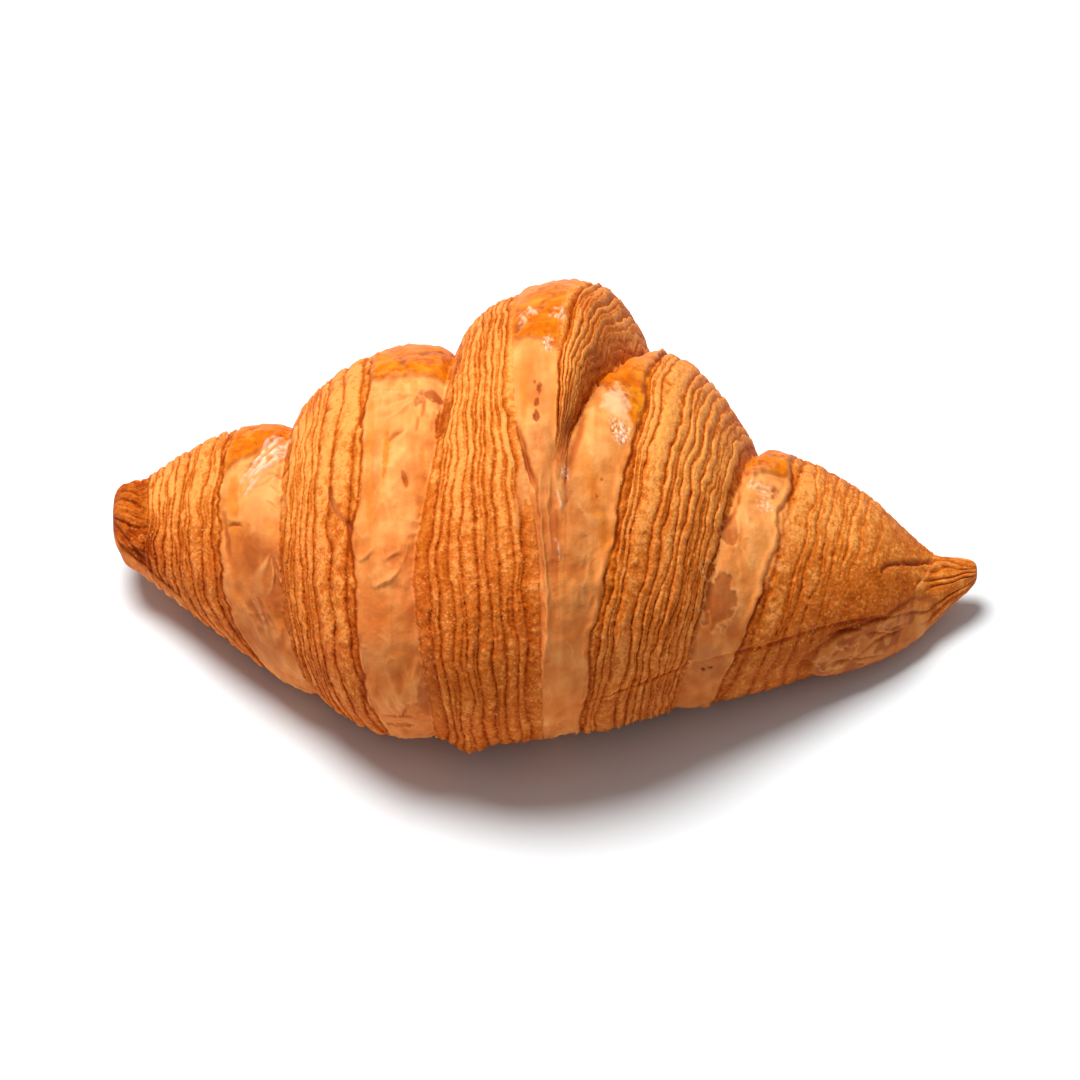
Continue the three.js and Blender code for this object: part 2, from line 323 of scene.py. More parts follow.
def ridge_field(index, rows, along):
    """The ridges of a layered edge: their height, and how far up from groove to crest each point is."""
    zone = ZONES[index]
    widths = np.array(zone["ridges"], float) / sum(zone["ridges"])
    marks = np.concatenate([[0], np.cumsum(widths)])
    breadth = np.abs(LINE[ORDER[index + 1]] - LINE[ORDER[index]])
    edges = []
    for i, mark in enumerate(marks):
        room = min(widths[max(i - 1, 0)], widths[min(i, len(widths) - 1)])
        edges.append(mark + EDGE_WANDER * room * noise_round(RIDGE_ROUND, 3.7 * i, index))
    edges[0], edges[-1] = edges[0] - 0.3, edges[-1] + 0.3  # past both ends of the edge
    point = [v[rows] for v in POINT]
    where = along + 0.7 * layered_noise(point, 11, 10 + index, 3) / breadth
    where = where + 0.26 * noise([v / 2.6 for v in point], 44 + index) / breadth
    where = where + 0.09 * noise([v / 0.8 for v in point], 40 + index) / breadth
    crinkles = 0.6 - 2.5 * np.abs(noise([v / 1.8 for v in point], 46))
    height, crest = np.zeros(where.shape), np.zeros(where.shape)
    for i, width in enumerate(widths):
        low, high = edges[i], edges[i + 1]
        inside = (where >= low) & (where < high)
        share = np.clip((where - low) / (high - low), 0, 1)
        millimetres = (high - low) * breadth
        broad = inside * smoothstep(*BROAD_RIDGE, millimetres)
        depth = RIDGE_DEPTH * (0.6 + 0.7 * draw(index, i, 1))
        depth = depth * np.clip(millimetres / 1.2, 0.35, 1) * zone.get("depth", 1)
        depth = depth * (1 + 0.9 * noise_round(1.6 * RIDGE_ROUND, 9.1 * i, 20 + index))
        across = np.abs(2 * share ** (0.85 + 0.3 * draw(index, i, 2)) - 1)
        profile = np.clip(1 - across ** (2 + 1.8 * draw(index, i, 4)), 0, 1) ** 0.58
        tone = 0.16 * noise([v / 7 for v in point], 60 + 3 * index + i) - 0.1 * draw(index, i, 6)
        split = (1 - broad) * ridge_splits(index, i, share, width * breadth.mean(), millimetres)
        height += inside * (depth * (profile - 0.6) - SPLIT_DEPTH * split)
        # The ridges' tone: dark in the grooves and splits, partly their own colour and partly painted
        # shade.
        crest += inside * (profile ** zone.get("valley", 0.8) * (1 - 0.6 * split) + tone * profile)
        height += CRINKLE * broad * crinkles
        crest += CRINKLE * broad * crinkles
    return height, crest


def base_relief(index, share):
    """How far the turns stand out from the core in a zone, without its ridges."""
    zone = ZONES[index]
    left, right = RISE[ORDER[index]], RISE[ORDER[index + 1]]
    if zone["out"] == 0:
        return left + (right - left) * share + 0.9 * np.sin(np.pi * share) * FADE, share
    inner, outer = (right, left) if zone["out"] < 0 else (left, right)
    along = 1 - share if zone["out"] < 0 else share
    if zone["kind"] == "skin":
        return inner + (outer - inner) * np.sin(np.pi / 2 * along), along
    fall = (1 - along**2.2) ** 0.8
    bulge = zone["bulge"] * np.sin(np.pi * along) * FADE
    if index == MIDDLE_RIGHT:
        fall, bulge = fall + (1 - along - fall) * CLOSED, bulge * (1 - CLOSED)
    return outer + (inner - outer) * fall + bulge, along


def groove_line(name):
    """Where a notch's groove runs: at the ridge top where the middle turn's right edge is closed up."""
    if name != "right_inner_notch":
        return LINE[name]
    return LINE[name] + (LINE["right_ridge_top"] - 0.6 - LINE[name]) * CLOSED


MIDDLE = ((ZONE > 0) & (ZONE < len(ZONES) - 1))[:, None]  # the rings between the tips
REACH = 1.12 * half_height(X)  # about how far the crust lies from the middle of the roll

# What is known of each point of the crust. Relief is how far it stands out, in millimetres. The others go
# from 0 to 1: from groove to crest, which also gives painted shade to the grooves and painted highlight
# to the tops, how smooth it is (skin), how far it is glazed (amber), stained or given painted shade in
# creases and hollows (brown), lightened by paler skin, flake rims and painted highlights (pale) or by
# painted glints (white) or shiny (gloss), and how far down its darker sides it lies (low), darkened there
# by a browner bake and painted shade.
CRUST_VALUES = ("relief", "crest", "skin", "amber", "brown", "pale", "white", "gloss", "low")
crust = {name: np.zeros(X.shape) for name in CRUST_VALUES}

# The rounded lobe of the under-fold, low on the right of the front.
LOBE = {"x": 55.6, "angle": 99, "half_length": 11.5, "half_width": 6, "tilt": -7,
        "height": 1.5, "squareness": 2.6}


def at_least(name, amount):
    """Raises one of the crust's values to an amount where it is lower."""
    crust[name] = np.maximum(crust[name], amount)


def local(x, angle, tilt=0):
    """Millimetres across and down from a place on the crust, on axes turned by tilt."""
    across, down = X - x, np.radians(A - angle) * REACH
    turn = math.radians(tilt)
    return across * math.cos(turn) + down * math.sin(turn), down * math.cos(turn) - across * math.sin(turn)


def lobe_edge():
    """Above 0 inside the lobe and 1 at its middle."""
    across, down = local(LOBE["x"], LOBE["angle"], LOBE["tilt"])
    power = LOBE["squareness"]
    away = np.abs(across / LOBE["half_length"]) ** power + np.abs(down / LOBE["half_width"]) ** power
    return 1 - away ** (1 / power) + 0.1 * crust_noise(4, 295)


LOBE_EDGE = lobe_edge()
LOBE_FIELD = smoothstep(-0.02, 0.28, LOBE_EDGE)


def raise_turns():
    """The steps of the turns and the ridges of their layered edges."""
    crust["crest"][:] = 1
    for index, zone in enumerate(ZONES):
        if zone["kind"] == "tip":
            continue
        rows = rows_of(index)
        relief, along = base_relief(index, SHARE[rows])
        if zone["kind"] == "layers":
            height, crest = ridge_field(index, rows, along)
            opened = 1 - CLOSED if index == MIDDLE_RIGHT else 1
            if index == len(ZONES) - 2:  # the ridges run out towards the right tip and over the under-fold
                low = 0.25 * smoothstep(10, 50, ANGLE)
                opened = (0.72 - 0.6 * smoothstep(0.45, 0.85, along + low)) * (1 - LOBE_FIELD[rows])
            relief = relief + opened * height
            plain = 0.62 + 0.12 * layered_noise([v[rows] for v in POINT], 3, 90, 2)
            crust["crest"][rows] = plain + opened * (crest - plain)
        crust["relief"][rows] = relief


# The smooth bands: from a shoulder, where the skin ends in a torn lip, to the notch that it comes out of.
SKIN_BANDS = [
    ("left_outer_shoulder", "left_outer_notch"),
    ("left_inner_shoulder", "left_inner_notch"),
    ("right_inner_shoulder", "right_inner_notch"),
    ("right_outer_shoulder", "right_outer_notch"),
]


def lay_skin():
    """The smooth skin with its torn lips, and the grooves beside them, darkened with painted shade."""
    for seed, (shoulder, notch) in enumerate(SKIN_BANDS):
        ragged = 1.1 * noise_round(ROLL_RADIUS / 8, 2.3 * seed, 60)
        ragged = ragged + 0.4 * noise_round(ROLL_RADIUS / 2, 1.9 * seed, 61)
        toward = np.sign(LINE[notch] - LINE[shoulder])
        inside = toward * (X - LINE[shoulder]) - ragged
        short = toward * (LINE[notch] - X)
        frayed = 0.5 * noise_round(ROLL_RADIUS / 3, 3.1 * seed, 63)
        frayed = frayed + 0.35 * crust_noise(0.8, 64)
        band = smoothstep(-0.1, 0.12, inside) * smoothstep(-0.2, 0.15, short + frayed)
        at_least("skin", band)
        near = smoothstep(-1.5, 0, short)
        crust["relief"] += near * 0.26 * bell((inside - 0.5) / 0.5) * smoothstep(-0.1, 0.1, inside)
        crust["relief"] -= near * 0.35 * bell((inside + 0.35) / 0.3)
        # Painted shade in the groove beside the lip.
        crust["crest"] -= near * 0.7 * bell((inside + 0.3) / 0.25)
    left, right = LINE["left_ridge_top"], LINE["right_ridge_top"]
    strip = smoothstep(-0.1, 0.15, X - left) * smoothstep(-0.1, 0.15, right - X)
    closed = CLOSED * (X > right - 0.5) * (X < LINE["right_inner_notch"] + 0.2)
    crust["skin"] = np.maximum(crust["skin"], np.maximum(strip, closed)) * MIDDLE


def cut_notches():
    """The grooves at the feet of the turns and round the left tip's neck, darkened with painted shade."""
    for name in ORDER:
        if "notch" not in name and name != "left_neck":
            continue
        off = X - groove_line(name) + NOTCH_WANDER * layered_noise(POINT, 3, 95, 2)
        depth = np.minimum(1, 0.35 + FADE) * (0.6 if name == "left_neck" else 1)
        if name == "right_inner_notch":
            depth = depth * (1 - 0.45 * CLOSED)
        crust["relief"] -= depth * (NOTCH_DEPTH * bell(off / NOTCH_WIDTH) + 0.2 * bell(off / 0.5))
        # Painted shade: the tone darkened down in each groove.
        crust["crest"] *= 1 - 0.75 * np.minimum(1, 0.2 + FADE) * bell(off / 0.55)


def roughen():
    """Low waves and wrinkles in the skin, and blisters and grain on the layered edges,
    with painted highlight on their tops and painted shade in their hollows.
    """
    waves = 0.09 * crust_noise((1.3, 10, 10), 70)
    waves = waves + 0.38 * layered_noise(POINT, 6, 71, 3)
    gathered = 1 - 3 * np.abs(crust_noise((1.8, 5, 5), 76))
    waves = waves + 0.2 * gathered * smoothstep(-0.1, 0.4, crust_noise(9, 77))
    large, which = cell_bumps(POINT, 1.1, 80)
    blisters = 0.16 * large * (which > 0.5)
    grain = 0.12 * crust_noise(0.5, 85) + 0.05 * crust_noise(1.2, 87)
    skin = crust["skin"]
    # The skin's tone follows its waves: painted highlight on their tops, painted shade in their hollows.
    crust["crest"] += skin * (np.clip(0.5 + 1.1 * waves, 0, 1) - crust["crest"])
    wrinkles = smoothstep(0.16, 0, np.abs(crust_noise((2.4, 4, 4), 78)))
    wrinkles = wrinkles * smoothstep(0, 0.35, crust_noise(6, 79))
    crust["relief"] += MIDDLE * (skin * (waves + 0.13 * wrinkles) + (1 - skin) * (blisters + grain))
    # Painted highlight along the raised wrinkles.
    crust["crest"] += 0.25 * skin * wrinkles
    # The ridges' tone: lighter on the top and darker down the front, with less contrast low on the front of
    # the middle.
    crust["crest"] += (1 - skin) * (0.06 - 0.15 * smoothstep(5, 40, A))
    contrast = 1.22 - 0.55 * smoothstep(10, 75, A) * bell(X / 38)
    crust["crest"] += (1 - skin) * (contrast - 1) * (crust["crest"] - 0.56)
    crust["crest"] += 0.12 * (1 - skin) * smoothstep(30, 80, A) * bell((X - 18) / 14)
    crust["relief"] += 0.25 * crust_noise(14, 86)
    # Painted highlight and shade on the blisters and the grain.
    crust["crest"] += (1 - skin) * (0.2 * large * (which > 0.5) + 1.3 * grain - 0.06)
    # The lower front, darker and redder: partly a browner bake and partly painted shade, less of it on the
    # right.
    crust["low"] = smoothstep(5, 65, np.abs(A)) * (0.85 + 0.4 * layered_noise(POINT, 12, 88, 2))
    crust["low"] *= 1 - 0.45 * smoothstep(-15, 10, X)


def blot(x, angle, half_across, half_down, tilt=0, ragged=0.3, seed=0):
    """A torn-edged patch: above 0 inside it and 1 at its middle, in shares of its size."""
    across, down = local(x, angle, tilt)
    away = np.hypot(across / half_across, down / half_down)
    field = 1 - np.minimum(away, 3)
    near = away < 2
    point = [v[near] for v in POINT]
    field[near] += ragged * layered_noise(point, 0.9 * min(half_across, half_down), seed, 3)
    return field


LINE_WANDER = 0.24 * layered_noise(POINT, 2.6, 350, 2)  # how far folds and creases stray sideways


def line_between(start, end, bow=0, width=0.4):
    """1 along a bowed line from one place (x, angle) to another, fading at both ends."""
    x, angle = start
    reach = 1.12 * float(half_height((start[0] + end[0]) / 2))
    run = (end[0] - x, math.radians(end[1] - angle) * reach)
    length = math.hypot(*run)
    across, down = X - x, np.radians(A - angle) * reach
    t = (across * run[0] + down * run[1]) / length**2
    off = (across * run[1] - down * run[0]) / length + LINE_WANDER
    inside = np.clip(t, 0, 1)
    arch = np.sin(np.pi * inside)
    return (t > 0) * (t < 1) * arch**0.5 * bell((off - bow * arch) / width)


def set_off(field, name, amount, edge=0.12):
    """Brings one of the crust's values nearer to 1 inside a patch, by a share of what is missing."""
    inside = smoothstep(-edge, edge, field) * amount
    crust[name] = crust[name] + (1 - crust[name]) * inside


# Glaze pooled over the top and back of each smooth band, with its lower limit at two places (x, angle).
CAPS = [
    (("left_outer_shoulder", "left_outer_notch"), (-52, -7), (-44, -22)),
    (("left_inner_shoulder", "left_inner_notch"), (-28, -20), (-18, -20)),
    (("left_ridge_top", "right_ridge_top"), (-5, -16), (2, -9)),
    (("right_inner_shoulder", "right_inner_notch"), (10.5, -7), (15.2, 6)),
    (("right_outer_shoulder", "right_outer_notch"), (34, -6), (41, -14)),
]
CAP_CRINKLE = 0.5


def glaze_caps():
    """The glaze: a thick edge, crinkles darkened in their hollows, partly dark veins and partly painted
    shade, and dark cracks, thinner again down the back.
    """
    crinkle = 1 - 2.2 * np.abs(crust_noise(3.2, 100))
    crinkle = crinkle + 0.5 * (1 - 2.2 * np.abs(crust_noise(1.4, 101)))
    wander = layered_noise(POINT, 4, 102, 2)
    cracks = np.abs(crust_noise((4.5, 2, 2), 103) + 0.3 * crust_noise(1.1, 104))
    cracks = smoothstep(0.15, 0, cracks) * smoothstep(-0.25, 0.2, crust_noise(5, 105))
    for (one, other), (x0, angle0), (x1, angle1) in CAPS:
        left, right = np.minimum(LINE[one], LINE[other]), np.maximum(LINE[one], LINE[other])
        limit = angle0 + (angle1 - angle0) * (X - x0) / (x1 - x0)
        above = np.radians(limit - A) * REACH + 0.8 * wander
        span = smoothstep(-0.8, 0.5, X - left) * smoothstep(-0.8, 0.5, right - X) * (A < 60)
        back = 1 - 0.8 * smoothstep(7, 30, above + 3 * wander) - 0.25 * smoothstep(90, 120, -A)
        cap = smoothstep(-0.2, 0.2, above) * span * back
        at_least("amber", cap)
        crust["relief"] += span * 0.32 * bell((above - 0.5) / 0.5)
        crust["relief"] += cap * CAP_CRINKLE * crinkle * bell((above - 2.5) / 3.5)
        crust["relief"] -= 0.15 * cap * cracks
        at_least("brown", 0.7 * cap * cracks)
        at_least("brown", 0.45 * span * bell((above + 0.1) / 0.35))
        # Darker in the crinkles' hollows: partly the glaze's dark veins, partly painted shade.
        at_least("brown", cap * 0.85 * smoothstep(0.35, -0.6, crinkle))
        at_least("gloss", 0.4 * cap)


# Soft changes of tone in the skin: place, half sizes, tilt, and how much of each value they bring.
# Some pale ones are painted highlights, and the one with white is a painted glint.
TINTS = [
    (0.1, 34, 2.4, 11, 0, {"brown": 0.38}),
    (-3.4, 23, 1.2, 7, 12, {"skin": 1, "brown": 0.3}),
    (5.0, 38, 1.9, 11, -4, {"brown": 0.3}),
    (-19.6, 84, 1.5, 9, 6, {"brown": 0.4}),
    (27.4, 84, 3.0, 6, -10, {"brown": 0.45}),
    (31.8, 62, 1.6, 9, -10, {"brown": 0.2}),
    (-49.8, 40, 1.6, 4, 10, {"brown": 0.28}),
    (-48.3, 70, 1.8, 2.4, -20, {"brown": 0.5, "amber": 0.5}),
    (-26.7, 8, 0.5, 4, 4, {"amber": 0.7}),
    (-28.4, 10, 0.8, 5, 0, {"brown": 0.25}),
    (0.3, 10, 1.6, 6, 0, {"brown": 0.16}),
    (3.4, 18, 1.2, 8, 0, {"brown": 0.5}),
    # Painted highlights on the glossy folds.
    (37.5, 5, 3.4, 7, -10, {"pale": 0.35, "amber": 0.25}),
    (36.2, 25, 2.4, 7, -14, {"pale": 0.3}),
    (9.4, 36, 1.0, 14, -14, {"amber": 0.4}),
    (36.6, 22, 1.1, 9, -14, {"amber": 0.35}),
    (-3.6, 2, 0.6, 7, 0, {"amber": 0.35}),
    (-47.5, 9, 2.6, 3.4, 0, {"pale": 0.3}),
    # A painted highlight with a painted glint below the glaze.
    (12.0, -1, 2.1, 3.2, 0, {"pale": 0.5, "white": 0.25}),
    (-47.5, 51, 2.8, 5, -15, {"brown": 0.3}),
    (-49.8, 44, 1.1, 3.2, -25, {"brown": 0.4}),
    (-46.4, 41, 2.0, 1.0, 0, {"brown": 0.35}),
    (-45.4, 56, 1.0, 4, 5, {"brown": 0.4}),
    (-29.4, 8, 0.7, 12, 0, {"amber": 0.4}),
    (-49, 62, 5, 16, 0, {"amber": 0.2, "brown": 0.12}),
    (-26, 58, 6, 12, 0, {"brown": 0.18}),
    (-48, 30, 6, 14, 0, {"amber": 0.1}),
    (-48.2, 13, 3.6, 6, 0, {"pale": 0.4}),
    (-48, 50, 5, 9, 0, {"brown": 0.2}),
    (-20.5, 26, 0.8, 9, 0, {"amber": 0.3, "brown": 0.12}),
    (-25, 70, 4, 9, 0, {"amber": 0.12}),
    (-53.2, 18, 1.0, 5, 0, {"amber": 0.5}),
    (1.6, 44, 0.7, 7, 0, {"brown": 0.4}),
    (-43.4, -20, 1.5, 1.2, 0, {"pale": 0.4}),
    (7.5, 76, 6, 12, 0, {"brown": 0.16}),
    (-49, 64, 6, 13, 0, {"brown": 0.25}),
    (-25, 76, 6, 10, 0, {"brown": 0.1}),
    (29, 76, 5, 8, 0, {"brown": 0.08}),
    (9, -22, 3.5, 14, 0, {"brown": 0.14}),
]


def tint():
    """The soft changes of tone, some of them painted highlights."""
    for seed, (x, angle, across, down, tilt, values) in enumerate(TINTS):
        field = blot(x, angle, across, down, tilt, 0.45, 250 + seed)
        for name, amount in values.items():
            set_off(field, name, amount, 0.3)


# Patches where the top flake has come away: place, half sizes, tilt, how dark, and how bare of skin.
PEELED = [
    (31.2, 26, 1.4, 2.6, 8, 0.5, 0),
    (29.4, 57, 2.7, 4.6, 8, 0.62, 0),
    (27.6, 45, 1.2, 1.2, 0, 0.3, 0),
    (-18.8, -12, 2.1, 1.1, 0, 0.75, 0),
    (-21.2, -9.5, 0.6, 1.3, 20, 0.6, 0),
    (-17.0, -2, 1.3, 3.4, 6, 0.2, 1),
    (-24.4, 106, 2.2, 0.9, 0, 0.15, 0.5),
    (50, 97, 3.2, 1.6, -15, 0.35, 0),
]


def peel():
    """The peeled patches, each with a pale rim and a dark edge."""
    for seed, (x, angle, across, down, tilt, dark, bare) in enumerate(PEELED):
        field = blot(x, angle, across, down, tilt, 0.45, 120 + 3 * seed)
        size = min(across, down)
        inside = smoothstep(-0.08, 0.1, field)
        set_off(field, "brown", dark, 0.1)
        crust["skin"] *= 1 - bare * inside
        crust["crest"] *= 1 - 0.4 * bare * inside
        crust["relief"] -= 0.16 * inside
        rim = bell((field * size + 0.25) / 0.2)
        rim = rim * smoothstep(-0.4, 0.1, crust_noise(2.5, 150 + seed))
        crust["relief"] += 0.12 * rim
        at_least("pale", 0.5 * rim * (1 - bare))
        edge = bell((field * size - 0.1) / 0.16)
        at_least("brown", 0.45 * edge * (1 - bare))


# Folds stand up from the skin and creases cut into it. Each runs from one place (x, angle) to another, with
# its bow, width and height or depth in millimetres.
FOLDS = [
    ((-31.4, 40), (-28.6, 36), -0.3, 0.4, 0.6),
    ((-21.8, -2), (-26.2, 6), 0.5, 0.6, 0.3),
    ((-22.6, 6), (-27.4, 13), 0.6, 0.6, 0.3),
    ((-23.0, 13), (-27.6, 20), 0.5, 0.6, 0.26),
    ((-35.9, 17), (-33.2, 28), -0.6, 0.3, 0.35),
    ((-26.9, 40.5), (-24.0, 38), 0.3, 0.4, 0.5),
    ((-28.9, 48.5), (-23.9, 43), -0.3, 0.45, 0.75),
    ((-27.8, 86), (-25.2, 98), 0.2, 0.3, 0.25),
    ((-26.4, 86), (-23.9, 98), 0.2, 0.3, 0.22),
    ((-25.2, 87), (-22.8, 98), 0.2, 0.3, 0.2),
    ((-25.9, 1.5), (-23.4, -1.5), 0.2, 0.3, 0.22),
    ((-28.2, -18), (-22.4, -21.5), 0.5, 0.4, 0.3),
    ((-50.8, 62), (-46.6, 82), 0.4, 0.3, 0.25),
    ((-48.6, 62), (-44.6, 82), 0.4, 0.3, 0.22),
    ((-52.2, 68), (-47.9, 90), 0.4, 0.35, 0.25),
    ((-54.4, 25), (-51.4, 26), -0.4, 0.5, 0.35),
    ((-51.6, 7.5), (-43.4, -4), 0, 0.5, 0.25),
    ((0.1, 27), (1.2, 46), 0, 0.22, 0.22),
    ((-1.5, 27), (-1.3, 89), 1.7, 0.34, 0.9),
    ((33.8, -9), (41.4, -10.5), 0.3, 0.55, 0.4),
    ((33.9, -1.5), (38.2, -4), -0.2, 0.55, 0.42),
    ((34.2, 5), (37.8, 5.5), 0.2, 0.5, 0.3),
    ((33.9, 10), (35.6, 8.5), 0.2, 0.4, 0.25),
    ((67.6, -16), (63.7, 46), 0.5, 0.2, 0.4),
    ((57.4, 74), (62.0, 79), -0.6, 0.35, 0.35),
    ((57.0, 80), (61.6, 86), -0.5, 0.3, 0.3),
    ((47.4, 84), (45.6, 97), 0.2, 0.3, 0.35),
]
CREASES = [
    ((-4.9, 9), (-1.3, 29), 0, 0.34, 1.0),
    ((-36.3, 15), (-33.6, 27.5), -0.6, 0.4, 0.4),
    ((-33.9, 27), (-32.0, 32), 0.4, 0.4, 0.4),
    ((-1.5, 25), (-1.0, 36), 0, 0.22, 0.7),
    ((-3.5, 15), (-2.2, 26), -0.1, 0.2, 0.5),
    ((48.6, 80), (54.2, 71), 0.3, 0.35, 0.35),
    ((54.0, 71), (62.0, 70), 0.3, 0.3, 0.3),
    ((61.0, 70), (66.0, 88), 0.4, 0.3, 0.5),
    ((48.5, 105), (54.0, 99), 0.3, 0.3, 0.5),
    ((53.5, 99), (61.5, 88), 0.4, 0.3, 0.4),
    ((-26.3, 4.2), (-23.6, 1.2), 0.2, 0.3, 0.5),
    ((-21.3, -3.5), (-21.8, 2), 0.2, 0.2, 0.35),
    ((-20.6, -12.5), (-20.7, -3), 0.2, 0.3, 0.35),
    ((-23.9, 13.8), (-23.2, 19.5), 0.15, 0.28, 0.9),
    ((6.6, 3), (4.2, 22), 0.2, 0.55, 0.5),
    ((3.9, 21), (3.3, 27), 0, 0.3, 0.4),
    ((57.2, 29), (61.2, 15), 0.4, 0.35, 0.7),
    ((60.2, 16.5), (68.2, -17), -0.6, 0.38, 0.9),
    ((67.1, -12), (63.2, 44), 0.5, 0.22, 0.3),
    ((-54.9, 22), (-53.8, 52), 0.3, 0.42, 0.6),
    ((-54.2, 31), (-51.4, 29.5), 0.5, 0.25, 0.45),
    ((-50.0, 10), (-43.0, -1), 0, 0.22, 0.4),
    ((-47.4, 1.8), (-45.4, 3.6), 0.1, 0.22, 0.3),
    ((-46.9, 8.5), (-44.9, 10.6), 0.1, 0.22, 0.3),
    ((-47.4, 16), (-45.2, 18.6), 0.1, 0.25, 0.3),
    ((33.1, 4), (32.6, 14), 0.2, 0.25, 0.45),
    ((32.6, 13), (28.9, 30), 0.5, 0.28, 0.5),
    ((34.0, -7), (41.6, -12.5), 0.2, 0.3, 0.45),
    ((47.6, 78), (55, 76.5), 0.3, 0.3, 0.5),
    ((47.2, 101), (58.5, 108), 0.6, 0.28, 0.45),
    ((55.2, 82), (60.4, 92), 0.4, 0.25, 0.35),
    ((-27.2, 101), (-22.0, 100), 0.4, 0.4, 0.25),
]

# Cloth-like gathers that spread from a point: place, first and last direction (0 is along X and 90 down the
# front), how far they reach, how many there are and how deep.
FANS = [
    (-20.0, -9, 150, 212, 10.5, 10, 0.75),
    (-17.6, 30, 150, 215, 6, 6, 0.35),
    (-43.6, -12, 105, 170, 10, 9, 0.6),
    (-46, 38, 60, 130, 10, 7, 0.45),
    (-24.5, 103, 245, 300, 9, 7, 0.35),
    (34.5, 6, 250, 330, 6, 5, 0.4),
    (4.6, 30, -40, 60, 7, 6, 0.3),
]


def gather():
    """The gathers, with painted highlight along their crests and painted shade between them."""
    for seed, (x, angle, first, last, reach, count, depth) in enumerate(FANS):
        across, down = local(x, angle)
        away = np.hypot(across, down)
        direction = np.degrees(np.arctan2(down, across)) % 360
        share = ((direction - first) % 360) / (last - first)
        bend = 0.6 * crust_noise(5, 310 + seed)
        rays = [share * count / 2 + bend, away / 9, np.full(X.shape, 1.3 * seed)]
        gathers = 1 - 2.4 * np.abs(noise(rays, 311))
        window = smoothstep(0, 0.15, share) * smoothstep(1, 0.85, share) * smoothstep(0.5, 2.5, away)
        window = window * smoothstep(reach, 0.55 * reach, away) * crust["skin"]
        crust["relief"] += depth * window * gathers
        # Painted shade between the gathers and painted highlight on their crests.
        at_least("brown", 0.5 * window * smoothstep(0, -0.9, gathers))
        at_least("pale", 0.5 * window * smoothstep(0.3, 1, gathers))


def fold_and_crease():
    """The folds, a little paler than the skin with painted highlight, and the creases, dark at their bottom
    with painted shade.
    """
    for start, end, bow, width, height in FOLDS:
        line = line_between(start, end, bow, width)
        crust["relief"] += height * line
        # Painted highlight on the fold.
        at_least("pale", 0.22 * line)
    for start, end, bow, width, depth in CREASES:
        line = line_between(start, end, bow, width)
        crust["relief"] -= depth * line
        # Painted shade at the bottom of the crease.
        crust["crest"] -= 0.8 * line
        at_least("brown", min(0.85, 0.9 * depth + 0.2) * line)


# Burst blisters, dark and sunken: place and half sizes.
BURSTS = [
    (-1.0, 1.9, 0.42, 0.9),
    (-1.7, -0.4, 0.24, 0.3),
    (-1.4, 5.6, 0.4, 0.75),
    (-1.5, 9.6, 0.62, 0.8),
    (9.5, 24, 0.22, 0.25),
    (8.6, 29, 0.22, 0.22),
    (39.2, -1, 0.75, 0.85),
    (38.9, 2.8, 0.4, 0.5),
    (26.6, 88.5, 0.5, 0.3),
    (27.9, 87.5, 0.3, 0.3),
]

# Spots of dried glaze, crystalline, with painted glints on their spikes and painted shade between them:
# place, half sizes, tilt, the grain in millimetres, how far that is drawn out, and how white the glints
# are.
DRIED = [
    (0.5, -10.0, 1.1, 1.3, 0, 0.55, 1, 0.75),
    (12.4, 8.5, 2.2, 2.3, 10, 0.7, 1, 0.9),
    (3.2, 23.5, 0.8, 1.7, -10, 0.6, 2, 0.35),
    (-2.8, -22, 1.8, 2.0, 40, 1.3, 2.2, 0.5),
    (2.0, -20.5, 1.8, 2.0, -40, 1.3, 2.2, 0.5),
    (36.6, 1, 2.8, 1.1, 0, 0.7, 4, 0.35),
    (37.3, 8, 1.4, 1.4, 30, 0.5, 1.5, 0.4),
]

# Wrinkles in the glaze and the skin, wet-looking by a painted glint along each and painted shade
# on both sides: from, to, bow, width and how white the glint is.
STREAKS = [
    ((-52.0, 7), (-44.4, -25), 0.3, 0.3, 0.75),
    ((-50.8, 4), (-43.3, -24), -0.2, 0.36, 0.85),
    ((-50.6, 8), (-43.9, -17), 0.2, 0.28, 0.7),
    ((-49.3, 3), (-43.5, -15), -0.3, 0.32, 0.6),
    ((-48.2, 1), (-45.1, -10), 0.2, 0.25, 0.6),
    ((-51.4, 14), (-48.4, 3), 0.2, 0.25, 0.5),
    ((-48.6, -12), (-45.8, -23), 0.2, 0.3, 0.5),
    ((-49.6, 62), (-46.8, 86), 0.4, 0.3, 0.12),
    ((-47.8, 66), (-45.4, 88), 0.3, 0.25, 0.1),
    ((1.8, 28), (3.0, 34), 0.2, 0.3, 0.35),
    ((1.6, 40), (2.4, 46), 0.2, 0.25, 0.3),
]


